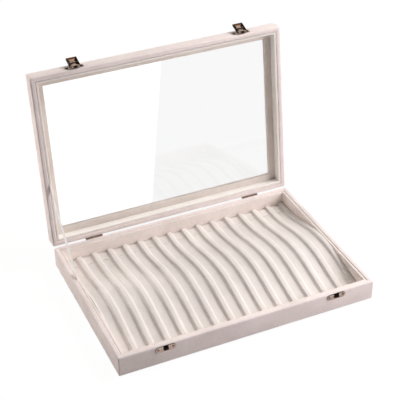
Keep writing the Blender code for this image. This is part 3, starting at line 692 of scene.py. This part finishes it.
def leaf(name, direction, knuckles):
    """One leaf at the middle of the box, below the hinge line for -1 and above it for +1."""
    root = HINGE_LINE.z + direction * LEAF_START
    tip = root + direction * LEAF_HEIGHT
    neck_end = root + direction * NECK_HEIGHT
    plate = add_block(name, (-LEAF_X, LEAF_Y, min(root, tip)),
                      (LEAF_X, LEAF_Y + LEAF, max(root, tip)))
    bpy.ops.object.mode_set(mode="EDIT")
    round_off(LEAF_ROUND, 5, lambda e: run(e, "y") > 0.0001
              and all(abs(p.z - tip) < 0.00001 for p in ends(e)))
    round_off(0.0002, 3, lambda e: all(p.y > LEAF_Y + 0.0006 for p in ends(e)))
    bpy.ops.object.mode_set(mode="OBJECT")
    parts = [plate]
    for low_x, high_x in knuckles:
        neck = add_block("neck", (low_x + 0.0001, LEAF_Y + 0.0001, min(HINGE_LINE.z, neck_end)),
                         (high_x - 0.0001, LEAF_Y + 0.0006, max(HINGE_LINE.z, neck_end)))
        barrel = add_rod("barrel", HINGE_LINE, low_x, high_x, KNUCKLE)
        bpy.ops.object.mode_set(mode="EDIT")
        pick("FACE", lambda f: abs(f.normal.x) > 0.9)
        bpy.ops.mesh.inset(thickness=KNUCKLE - KNUCKLE_MOUTH, depth=0)
        bpy.ops.mesh.inset(thickness=0.00001, depth=-0.0002)
        round_off(0.00015, 2, lambda e: run(e, "x") < 0.00001
                  and all((p - HINGE_LINE).yz.length > KNUCKLE - 0.0001 for p in ends(e)))
        bpy.ops.object.mode_set(mode="OBJECT")
        parts += [neck, barrel]
    return smooth(join_pieces(parts, name))


def add_pin(name, line, reach, radius):
    """A steel pin with rounded ends, which reaches this far to both sides of the middle."""
    pin = add_rod(name, line, -reach, reach, radius, 16)
    bpy.ops.object.mode_set(mode="EDIT")
    round_off(0.0002, 3, lambda e: run(e, "x") < 0.00001)
    bpy.ops.object.mode_set(mode="OBJECT")
    return smooth(pin)


def fit_pair(piece, node, left_x, right_x, left_body, right_body):
    """Sets a piece that was made in the middle at its left place, and a copy at its right place."""
    twin = copy_of(piece, piece.name.replace("left", "right"), (right_x, 0, 0))
    piece.data.transform(Matrix.Translation((left_x, 0, 0)))
    dress(piece, nickel, left_body, "polished_nickel", f"{node}_left")
    dress(twin, nickel, right_body, "polished_nickel", f"{node}_right")


base_leaf = leaf("hinge_leaf_base_left", -1, BASE_KNUCKLES)
lid_leaf = leaf("hinge_leaf_lid_left", 1, LID_KNUCKLES)
turn_about(lid_leaf, HINGE_LINE, -LID_OPEN)
hinge_rod = add_pin("hinge_rod_left", HINGE_LINE, HINGE_ROD_REACH, HINGE_ROD)
fit_pair(base_leaf, "hinge_base_leaf", -HINGE_X, HINGE_X, "base", "base")
fit_pair(lid_leaf, "hinge_lid_leaf", -HINGE_X, HINGE_X, "lid", "lid")
fit_pair(hinge_rod, "hinge_pin", -HINGE_X, HINGE_X, "base", "base")
fasten("hinge_base_screw", beside(-HINGE_X, HINGE_X, LEAF_SCREW_X, LEAF_Y + LEAF,
                                  HINGE_LINE.z - LEAF_SCREW_Z), 1, "base")
fasten("hinge_lid_screw", beside(-HINGE_X, HINGE_X, LEAF_SCREW_X, LEAF_Y + LEAF,
                                 HINGE_LINE.z + LEAF_SCREW_Z), 1, "lid", HINGE_LINE)


# Two plates on the lid's front carry the box hasps. Each is pressed from sheet, with two arms
# curled round a steel pin, and is held by two screws.
LATCH_LEFT = -0.1145
LATCH_RIGHT = 0.1195
FRONT = -0.1203
SHEET = 0.0008
PLATE_X = 0.01225
PLATE_LOW = 0.0325
PLATE_HIGH = 0.0418
PLATE_SCREW_X = 0.0095
PLATE_SCREW_Z = 0.03715
PLATE_ROUND = 0.0020
ARM = 0.0032
ARM_LEFTS = (-0.0056, 0.0024)
ARM_TOP = 0.0340
HASP_LINE = Vector((0, -0.1223, 0.0310))
HASP_ROD = 0.00055
HASP_ROD_REACH = 0.0057
ROLL_OUTER = 0.0013
ROLL_INNER = 0.00085
ROLL_TURN = -285


def roll(name, low_x, high_x, strip_low, strip_high, direction):
    """A strip of sheet rolled round the pin. It starts flat, behind the pin for +1 and in front
    of it for -1."""
    near, far = sorted((HASP_LINE.y + direction * ROLL_OUTER, HASP_LINE.y + direction * ROLL_INNER))
    strip = add_block(name, (low_x, near, strip_low), (high_x, far, strip_high))
    bpy.ops.object.mode_set(mode="EDIT")
    pick("FACE", lambda f: f.normal.z * direction < -0.9)
    bpy.ops.mesh.spin(steps=16, angle=math.radians(ROLL_TURN), center=HASP_LINE, axis=(1, 0, 0))
    round_off(0.0001, 2, lambda e: run(e, "x") < 0.00001 and len(e.link_faces) == 2
              and e.calc_face_angle(0) > 1.0)
    bpy.ops.object.mode_set(mode="OBJECT")
    return strip


plate = add_block("plate", (-PLATE_X, FRONT - SHEET, PLATE_LOW), (PLATE_X, FRONT, PLATE_HIGH))
bpy.ops.object.mode_set(mode="EDIT")
round_off(PLATE_ROUND, 6, lambda e: run(e, "y") > 0.0005)
round_off(0.0003, 3, lambda e: all(p.y < FRONT - 0.0007 for p in ends(e)))
pick("FACE", lambda f: f.normal.y < -0.9 and f.calc_area() > 0.00005)
bpy.ops.mesh.inset(thickness=0.0009, depth=0)
bpy.ops.mesh.inset(thickness=0.0003, depth=-0.0002)
bpy.ops.object.mode_set(mode="OBJECT")
arms = [roll("arm", low, low + ARM, HASP_LINE.z, ARM_TOP, 1) for low in ARM_LEFTS]
latch = smooth(join_pieces([plate] + arms, "latch_base_left"))
turn_about(latch, HINGE_LINE, -LID_OPEN)
fit_pair(latch, "latch_plate", LATCH_LEFT, LATCH_RIGHT, "lid", "lid")

hasp_rod = add_pin("hasp_rod_left", HASP_LINE, HASP_ROD_REACH, HASP_ROD)
turn_about(hasp_rod, HINGE_LINE, -LID_OPEN)
fit_pair(hasp_rod, "hasp_pin", LATCH_LEFT, LATCH_RIGHT, "lid", "lid")
fasten("latch_plate_screw", beside(LATCH_LEFT, LATCH_RIGHT, PLATE_SCREW_X, FRONT - 0.0006,
                                   PLATE_SCREW_Z), -1, "lid", HINGE_LINE)


# The hasp that swings on each pin is a cap pressed from sheet, with its neck rolled round the
# pin. An arched tongue inside it ends in a cross bar. Its sides and its neck are painted near
# black, as painted dark reflections.
HASP_OPEN = 156
CAP_X = 0.0071
CAP_OUT = -0.1240
CAP_IN = -0.1214
CAP_ROOT = 0.0294
CAP_TIP = 0.0132
CAP_ROUND = 0.0006
CAP_PAINTED_DARK_BAND = 0.0030
BAR_IN = -0.1219
BAR_LOW = 0.0216
BAR_TOP = 0.0224
NECK_X = 0.0021
NECK_LOW = 0.0288
TONGUE_X = 0.0024
TONGUE_OUT = -0.1236
TONGUE_IN = -0.1231
TONGUE_LOW = 0.0223
TONGUE_TOP = 0.0290
TONGUE_ARCH = 0.0060
cap = add_block("cap", (-CAP_X, CAP_OUT, CAP_TIP), (CAP_X, CAP_IN, CAP_ROOT))
bpy.ops.object.mode_set(mode="EDIT")
pick("FACE", lambda f: f.normal.y > 0.9)
for thickness, depth in ((0.00045, 0), (0.00015, -0.0006), (0.0021, -0.0005), (0.0014, -0.0008)):
    bpy.ops.mesh.inset(thickness=thickness, depth=depth)
pick("EDGE", lambda e: all(CAP_OUT + 0.0003 < p.y < CAP_IN - 0.0001 for p in ends(e)))
bpy.ops.mesh.mark_sharp()
pick("FACE", lambda f: f.normal.y < -0.9 and f.calc_area() > 0.0001)
bpy.ops.mesh.inset(thickness=0.0017, depth=0)
bpy.ops.mesh.inset(thickness=0.0005, depth=0.0003)
round_off(CAP_ROUND, 5, lambda e: run(e, "y") > 0.002)
round_off(0.0005, 5, lambda e: all(p.y < CAP_OUT + 0.00001 for p in ends(e)) and e.is_convex
          and e.calc_face_angle(0) > 1.0)
bpy.ops.object.mode_set(mode="OBJECT")
# Bands down the cap's sides are painted near black, a painted dark reflection.
paint_dark_reflection_and_shade(cap, lambda f: abs(f.center.x) > CAP_X - CAP_PAINTED_DARK_BAND)

bar = add_block("bar", (-CAP_X + 0.0003, CAP_OUT + 0.0004, BAR_LOW),
                (CAP_X - 0.0003, BAR_IN, BAR_TOP))
bpy.ops.object.mode_set(mode="EDIT")
round_off(0.0003, 3, lambda e: all(p.y > BAR_IN - 0.0001 for p in ends(e)) and run(e, "z") < 0.0001)
bpy.ops.object.mode_set(mode="OBJECT")
neck = roll("neck", -NECK_X, NECK_X, NECK_LOW, HASP_LINE.z, -1)
# The rolled neck is painted near black all over, a painted dark reflection.
paint_dark_reflection_and_shade(neck, lambda f: True)
tongue = add_block("tongue", (-TONGUE_X, TONGUE_OUT, TONGUE_LOW),
                   (TONGUE_X, TONGUE_IN, TONGUE_TOP))
bpy.ops.object.mode_set(mode="EDIT")
pick("EDGE", lambda e: run(e, "z") > 0.001)
bpy.ops.mesh.subdivide(number_cuts=11)
bpy.ops.object.mode_set(mode="OBJECT")
for vertex in tongue.data.vertices:
    along = (vertex.co.z - TONGUE_LOW) / (TONGUE_TOP - TONGUE_LOW)
    vertex.co.y += TONGUE_ARCH * along ** 3 * (1 - along)
hasp = smooth(join_pieces([cap, bar, neck, tongue], "hasp_cap_left"), 24)
turn_about(hasp, HASP_LINE, -HASP_OPEN)
turn_about(hasp, HINGE_LINE, -LID_OPEN)
fit_pair(hasp, "hasp", LATCH_LEFT, LATCH_RIGHT, "hasp_left", "hasp_right")


# Below each hasp a round-ended catch plate is screwed to the base's front. A hook is bent up
# from its middle, and the hasp's cross bar snaps under it.
CATCH_X = 0.01325
CATCH_LOW = 0.0199
CATCH_HIGH = 0.0284
CATCH_ROUND = 0.0042
CATCH_SCREW_X = 0.0098
HOOK_X = 0.0032
HOOK_FRONT = -0.1229
HOOK_LOW = 0.0228
HOOK_BEND = 0.0242
HOOK_TOP = 0.0289
HOOK_LEAN = 0.0020
catch = add_block("catch", (-CATCH_X, FRONT - SHEET, CATCH_LOW), (CATCH_X, FRONT, CATCH_HIGH))
bpy.ops.object.mode_set(mode="EDIT")
round_off(CATCH_ROUND, 9, lambda e: run(e, "y") > 0.0005)
round_off(0.0006, 5, lambda e: all(p.y < FRONT - 0.0007 for p in ends(e)))
bpy.ops.object.mode_set(mode="OBJECT")
# The plate's rounded rim and sides are painted near black, a painted dark reflection along its
# domed edge.
paint_dark_reflection_and_shade(catch, lambda f: f.normal.y > -0.75)
hook = add_block("hook", (-HOOK_X, HOOK_FRONT, HOOK_LOW), (HOOK_X, FRONT - 0.0004, HOOK_TOP))
bpy.ops.object.mode_set(mode="EDIT")
bpy.ops.mesh.select_all(action="SELECT")
bpy.ops.mesh.bisect(plane_co=(0, 0, HOOK_BEND), plane_no=(0, 0, 1))
pick("EDGE", lambda e: all(p.y < HOOK_FRONT + 0.0001 and p.z > HOOK_TOP - 0.0001 for p in ends(e)))
bpy.ops.transform.translate(value=(0, HOOK_LEAN, 0))
round_off(0.0003, 3, lambda e: all(p.y < -0.1207 for p in ends(e)) and run(e, "x") > 0.001)
bpy.ops.object.mode_set(mode="OBJECT")
# The hook is painted near black all over, a painted dark reflection.
paint_dark_reflection_and_shade(hook, lambda f: True)
catch = smooth(join_pieces([catch, hook], "catch_left"))
fit_pair(catch, "catch_plate", LATCH_LEFT, LATCH_RIGHT, "base", "base")
fasten("catch_screw", beside(LATCH_LEFT, LATCH_RIGHT, CATCH_SCREW_X, FRONT - SHEET,
                             (CATCH_LOW + CATCH_HIGH) / 2), -1, "base")
bpy.data.objects.remove(screw)


# A pale satin ribbon keeps the lid from falling back. Its ends are glued in between wall and
# liner, on the left of the base and of the lid, and it twists a little where it is free.
RIBBON_X = -0.16856
RIBBON_WIDTH = 0.0070
RIBBON = 0.00022
TUCK_BASE = 0.015
TUCK_LID = 0.013
FREE_FROM = 0.13
FREE_TO = 0.91
EASE = 0.25
TWIST = -9
on_base = Vector((RIBBON_X, 0.0450, BASE_RIM))
on_lid = Vector((0, -0.0870, 0.00015))
on_lid.rotate(Matrix.Rotation(math.radians(-LID_OPEN), 3, "X"))
on_lid += HINGE_LINE
on_lid.x = RIBBON_X
taut = (on_lid - on_base).normalized()
ribbon_start = on_base - taut * TUCK_BASE
ribbon_end = on_lid + taut * TUCK_LID
ribbon_length = (ribbon_end - ribbon_start).length
bpy.ops.object.select_all(action="DESELECT")
bpy.ops.mesh.primitive_grid_add(x_subdivisions=12, y_subdivisions=120, size=1)
ribbon = bpy.context.active_object
ribbon.name = ribbon.data.name = "satin_stay"
sideways = taut.cross(Vector((1, 0, 0)))
for vertex in ribbon.data.vertices:
    u, v = vertex.co.x, vertex.co.y + 0.5
    free = min(max((v - FREE_FROM) / EASE, 0), max((FREE_TO - v) / EASE, 0), 1)
    twist = math.radians(TWIST) * math.sin(math.pi / 2 * free)
    over = sideways * math.cos(twist) + Vector((math.sin(twist), 0, 0))
    vertex.co = ribbon_start + taut * ribbon_length * v + over * RIBBON_WIDTH * u
solid = ribbon.modifiers.new("Thickness", "SOLIDIFY")
solid.thickness = RIBBON
solid.offset = 0
bpy.ops.object.modifier_apply(modifier=solid.name)
smooth(ribbon, 50)
satin, surface, place, join = new_look(
    "satin", 0.38, Sheen_Weight=1.0, Sheen_Roughness=0.5, Subsurface_Weight=0.9,
    Subsurface_Radius=(1, 1, 1), Subsurface_Scale=0.001)
threads = add_node(satin, "ShaderNodeTexNoise", (-900, 100), Scale=1500, Detail=2)
tones = add_node(satin, "ShaderNodeValToRGB", (-500, 100))
tones.color_ramp.elements[0].color = (0.93, 0.89, 0.90, 1)
tones.color_ramp.elements[1].color = (0.99, 0.97, 0.98, 1)
bump = add_node(satin, "ShaderNodeBump", (-300, -160), Strength=0.4, Distance=0.00004)
join(place, threads.inputs["Vector"])
join(threads.outputs["Fac"], tones.inputs["Fac"])
join(tones.outputs["Color"], surface.inputs["Base Color"])
join(threads.outputs["Fac"], bump.inputs["Height"])
join(bump.outputs["Normal"], surface.inputs["Normal"])
ribbon.data.materials.append(satin)
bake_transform(ribbon)
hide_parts("ribbon_stay")


# The box stands on a plain pale table in a white studio, under soft lamps from the right, from
# above and low from behind on the left. Cards round it show in metal and glass only.
TABLE_SIZE = 12
TABLE_TOP = -0.0002


def seen_directly(look):
    """1 for what is seen straight, in a reflection or through glass, and 0 for what only lights."""
    path = add_node(look, "ShaderNodeLightPath", (-900, 0))
    either = add_node(look, "ShaderNodeMath", (-700, 0), operation="MAXIMUM")
    any_of_three = add_node(look, "ShaderNodeMath", (-500, 0), operation="MAXIMUM")
    join = look.node_tree.links.new
    join(path.outputs["Is Camera Ray"], either.inputs[0])
    join(path.outputs["Is Glossy Ray"], either.inputs[1])
    join(either.outputs["Value"], any_of_three.inputs[0])
    join(path.outputs["Is Transmission Ray"], any_of_three.inputs[1])
    return any_of_three.outputs["Value"]


world = bpy.data.worlds.new("studio")
bpy.context.scene.world = world
world.use_nodes = True
walls = world.node_tree.nodes["Background"]
walls.inputs["Color"].default_value = (1, 1, 1, 1)
glow = add_node(world, "ShaderNodeMapRange", (-300, 0), To_Min=0.215, To_Max=1.0)
join = world.node_tree.links.new
join(seen_directly(world), glow.inputs["Value"])
join(glow.outputs["Result"], walls.inputs["Strength"])

bpy.ops.object.select_all(action="DESELECT")
bpy.ops.mesh.primitive_plane_add(size=TABLE_SIZE, location=(0, 0, TABLE_TOP))
table = bpy.context.active_object
table.name = "table"
table_look, surface, place, join = new_look("pale_table", 0.9, Base_Color=(0.50, 0.49, 0.48, 1))
white = add_node(table_look, "ShaderNodeEmission", (0, -300), Strength=1.07)
share = add_node(table_look, "ShaderNodeMath", (-200, 200), operation="MULTIPLY")
share.inputs[1].default_value = 0.90
blend = add_node(table_look, "ShaderNodeMixShader", (300, -100))
join(seen_directly(table_look), share.inputs[0])
join(share.outputs["Value"], blend.inputs["Fac"])
join(surface.outputs["BSDF"], blend.inputs[1])
join(white.outputs["Emission"], blend.inputs[2])
join(blend.outputs["Shader"], table_look.node_tree.nodes["Material Output"].inputs["Surface"])
table.data.materials.append(table_look)


def card(name, corners, height, colour, seen_by="glossy"):
    """A flat glowing card that only one kind of ray meets: reflections, or the view through
    glass."""
    bpy.ops.object.select_all(action="DESELECT")
    bpy.ops.mesh.primitive_plane_add(size=2, location=(0, 0, 0))
    sheet = bpy.context.active_object
    sheet.name = sheet.data.name = name
    for number, vertex in zip((0, 1, 3, 2), sheet.data.vertices):
        vertex.co = (*corners[number], height)
    for kind in ("camera", "diffuse", "glossy", "transmission", "shadow"):
        setattr(sheet, f"visible_{kind}", kind == seen_by)
    look = new_look(name, 0.5, Base_Color=(0, 0, 0, 1), Specular_IOR_Level=0,
                    Emission_Color=(*colour, 1), Emission_Strength=1)[0]
    sheet.data.materials.append(look)


CEILING = 1.3
LOWER_CEILING = 1.29
FLOOR = 0.001
card("dark_ceiling", ((-12, -12), (12, -12), (12, 12), (-12, 12)), CEILING,
     (0.010, 0.006, 0.004))
card("light_ceiling", ((-0.6, -1.4), (1.2, -1.4), (1.2, -0.2), (-0.6, -0.2)), LOWER_CEILING,
     (0.85, 0.75, 0.68))
card("warm_ceiling", ((-0.15, -0.19), (1.0, -0.19), (1.0, 1.3), (-0.15, 1.3)), LOWER_CEILING,
     (0.27, 0.12, 0.06))
card("floor_glow", ((-0.6, -0.19), (-0.6, -1.0), (0.436, -1.0), (0.102, -0.19)), FLOOR,
     (0.85, 0.81, 0.79))
card("floor_dusk", ((-0.3, -0.122), (-0.3, -0.155), (0.4, -0.155), (0.4, -0.122)), FLOOR,
     (0.84, 0.75, 0.73))
card("floor_dawn", ((-0.3, -0.155), (-0.3, -0.19), (0.4, -0.19), (0.4, -0.155)), FLOOR,
     (1.15, 1.12, 1.14))
# Seen only through the glass, the grey card paints the pane's dark reflection over its right part.
# The white one glows brighter than the table so that the view through its left part stays white.
card("white_behind", ((-0.9, 0.13), (-0.0335, 0.13), (0.3167, 0.9), (-0.9, 0.9)), FLOOR,
     (1.09, 1.09, 1.09), "transmission")
card("grey_behind_painted_reflection", ((-0.0335, 0.13), (1.2, 0.13), (1.2, 0.9), (0.3167, 0.9)), FLOOR,
     (0.934, 0.934, 0.934), "transmission")

LAMPS_FACE = Vector((0, 0, 0.05))


def soft_lamp(name, place, size, watts, colour, in_metal=False):
    """A square soft lamp that faces the box. Metal and glass mirror it only where told."""
    bpy.ops.object.light_add(type="AREA", location=place)
    lamp = bpy.context.active_object
    lamp.name = name
    lamp.data.shape = "SQUARE"
    lamp.data.size = size
    lamp.data.energy = watts
    lamp.data.color = colour
    lamp.rotation_mode = "QUATERNION"
    lamp.rotation_quaternion = (Vector(place) - LAMPS_FACE).to_track_quat("Z", "Y")
    lamp.visible_glossy = in_metal


soft_lamp("back_left_lamp", (-1.0, 1.0, 0.75), 0.9, 2.4, (1.0, 0.93, 0.86))
soft_lamp("low_left_lamp", (-0.975, 0.975, 0.243), 0.3, 8.8, (1.0, 0.95, 0.91))
soft_lamp("right_front_lamp", (0.75, -0.55, 0.45), 0.4, 4.7, (1.0, 0.95, 0.98))
soft_lamp("right_top_lamp", (1.12, 0.0, 1.53), 0.6, 17.5, (1.0, 0.98, 0.95))
soft_lamp("back_lamp", (0.27, 0.99, 0.99), 1.1, 3.0, (1.0, 0.97, 0.95), in_metal=True)

bpy.context.scene.view_settings.view_transform = "Standard"
